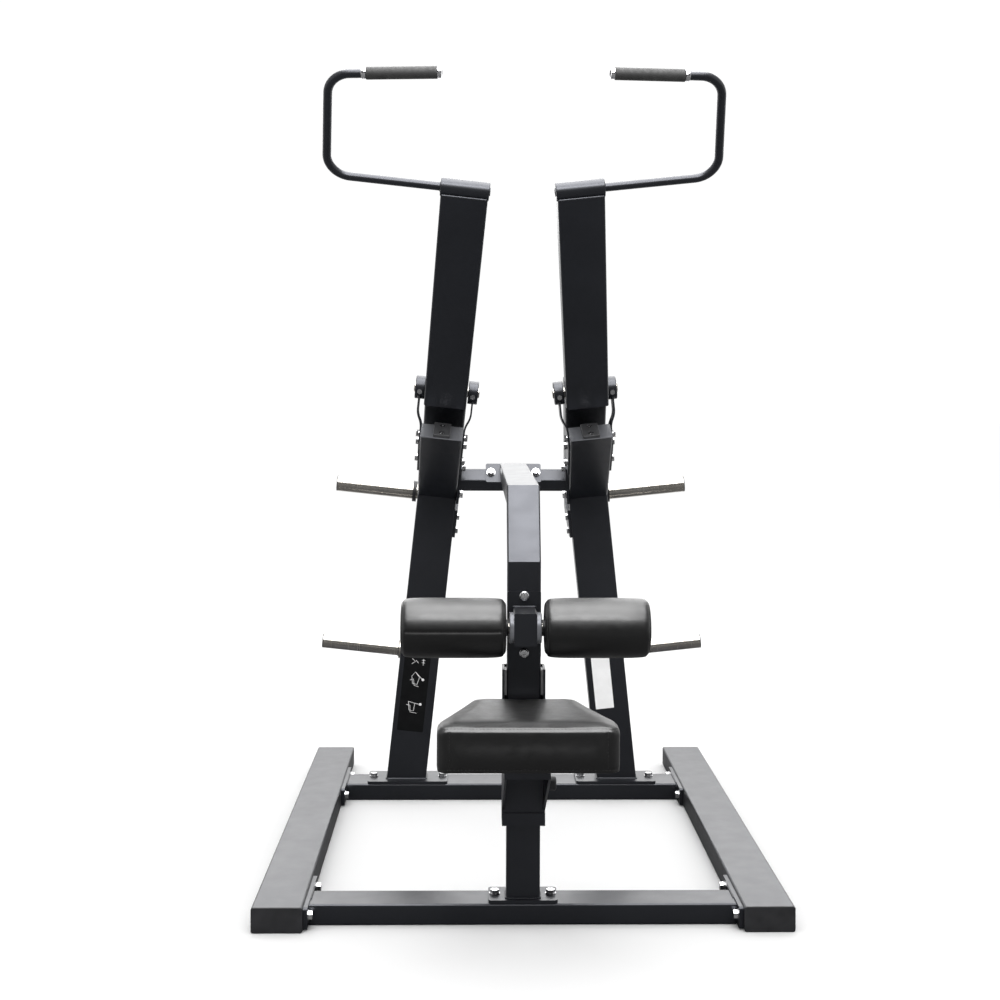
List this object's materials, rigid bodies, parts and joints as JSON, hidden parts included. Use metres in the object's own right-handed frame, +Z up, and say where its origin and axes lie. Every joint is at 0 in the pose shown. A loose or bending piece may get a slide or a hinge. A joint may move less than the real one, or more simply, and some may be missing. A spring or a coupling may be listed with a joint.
{
  "type": "lat pulldown machine",
  "caption": "Plate-loaded lat pulldown machine: box-rail base, leaning posts, separate hinged lever arms with C handles and loading horns, thigh rollers and a height-adjustable padded seat.",
  "frame": {"origin": "bottom centre of the bounding box, on the floor under the middle of the machine", "axes": "+Z up, -Y towards the front where the user sits, +X to the machine's right-hand side seen from the front of the picture"},
  "size_m": [1.27, 1.782, 2.0286],
  "materials": {
    "frame_coat": "satin black powder coat",
    "black_plastic": "moulded, fine grain",
    "liner_plastic": "smooth grey nylon",
    "bolt_steel": "zinc plated, bright",
    "horn_steel": "turned and polished",
    "bearing_steel": "ground",
    "ring_chrome": "polished",
    "black_rubber": "matt",
    "grey_rubber": "matt grey",
    "grey_plate": "light grey satin",
    "black_vinyl": "black upholstery vinyl over foam, satin grain",
    "board_wood": "painted black plywood",
    "placard": null,
    "white_label": "blank white sheet"
  },
  "bodies": {
    "frame": {"blank_label": "white_label", "bumper_screws": "bolt_steel", "centre_post": "frame_coat", "cheek_bolts": "bolt_steel", "exercise_placard": "placard", "frame_bolts": "bolt_steel", "front_cross_tube": "frame_coat", "left_inner_cheek": "frame_coat", "left_main_post": "frame_coat", "left_outer_cheek": "frame_coat", "left_pivot_axle": "horn_steel", "left_rail": "frame_coat", "rail_end_caps": "black_plastic", "rear_cross_tube": "frame_coat", "rear_stop_bolts": "bolt_steel", "rear_stop_brackets": "frame_coat", "rear_stop_pads": "black_rubber", "right_inner_cheek": "frame_coat", "right_main_post": "frame_coat", "right_outer_cheek": "frame_coat", "right_pivot_axle": "horn_steel", "right_rail": "frame_coat", "roller_axle": "horn_steel", "roller_bracket": "frame_coat", "roller_bracket_bolts": "bolt_steel", "roller_discs": "grey_plate", "roller_end_caps": "black_plastic", "stop_bumpers": "grey_rubber", "stop_plates": "grey_plate", "storage_horn_caps": "black_plastic", "storage_horns": "horn_steel", "upper_crossbar": "frame_coat"},
    "left_arm": {"left_lever_arm": "frame_coat", "left_pivot_bearings": "bearing_steel", "left_handle": "frame_coat", "left_grip": "black_rubber", "left_grip_rings": "ring_chrome", "left_loading_horn": "horn_steel", "left_horn_collar": "black_plastic", "left_horn_cap": "black_plastic"},
    "right_arm": {"right_lever_arm": "frame_coat", "right_pivot_bearings": "bearing_steel", "right_handle": "frame_coat", "right_grip": "black_rubber", "right_grip_rings": "ring_chrome", "right_loading_horn": "horn_steel", "right_horn_collar": "black_plastic", "right_horn_cap": "black_plastic"},
    "seat": {"seat_carriage": "frame_coat", "seat_slide_liners": "liner_plastic", "seat_board": "board_wood", "seat_pad": "black_vinyl", "seat_bolts": "bolt_steel", "pop_pin_barrel": "bolt_steel"},
    "pop_pin": {"pop_pin_plunger": "bolt_steel", "pop_pin_knob": "black_plastic"},
    "left_roller": {"left_roller_core": "black_plastic", "left_roller_pad": "black_vinyl"},
    "right_roller": {"right_roller_core": "black_plastic", "right_roller_pad": "black_vinyl"}
  },
  "joints": [
    {"name": "left_arm_pivot", "type": "hinge", "parent": "frame", "child": "left_arm", "pos_m": [-0.19818, 0.191, 1.25708], "axis": [0.9945, 0, -0.1045], "range_deg": [0, 74.3]},
    {"name": "right_arm_pivot", "type": "hinge", "parent": "frame", "child": "right_arm", "pos_m": [0.19818, 0.191, 1.25708], "axis": [0.9945, 0, 0.1045], "range_deg": [0, 74.3]},
    {"name": "seat_height", "type": "slide", "parent": "frame", "child": "seat", "axis": [0, 0, 1], "range_m": [-0.15, 0.025]},
    {"name": "pop_pin_pull", "type": "slide", "parent": "seat", "child": "pop_pin", "axis": [1, 0, 0], "range_m": [-0.005, 0], "stiffness_N_per_m": 400, "springref_m": -0.005},
    {"name": "left_roller_spin", "type": "hinge", "parent": "frame", "child": "left_roller", "pos_m": [-0.166, -0.644, 0.713], "axis": [1, 0, 0], "continuous": true},
    {"name": "right_roller_spin", "type": "hinge", "parent": "frame", "child": "right_roller", "pos_m": [0.166, -0.644, 0.713], "axis": [1, 0, 0], "continuous": true}
  ]
}
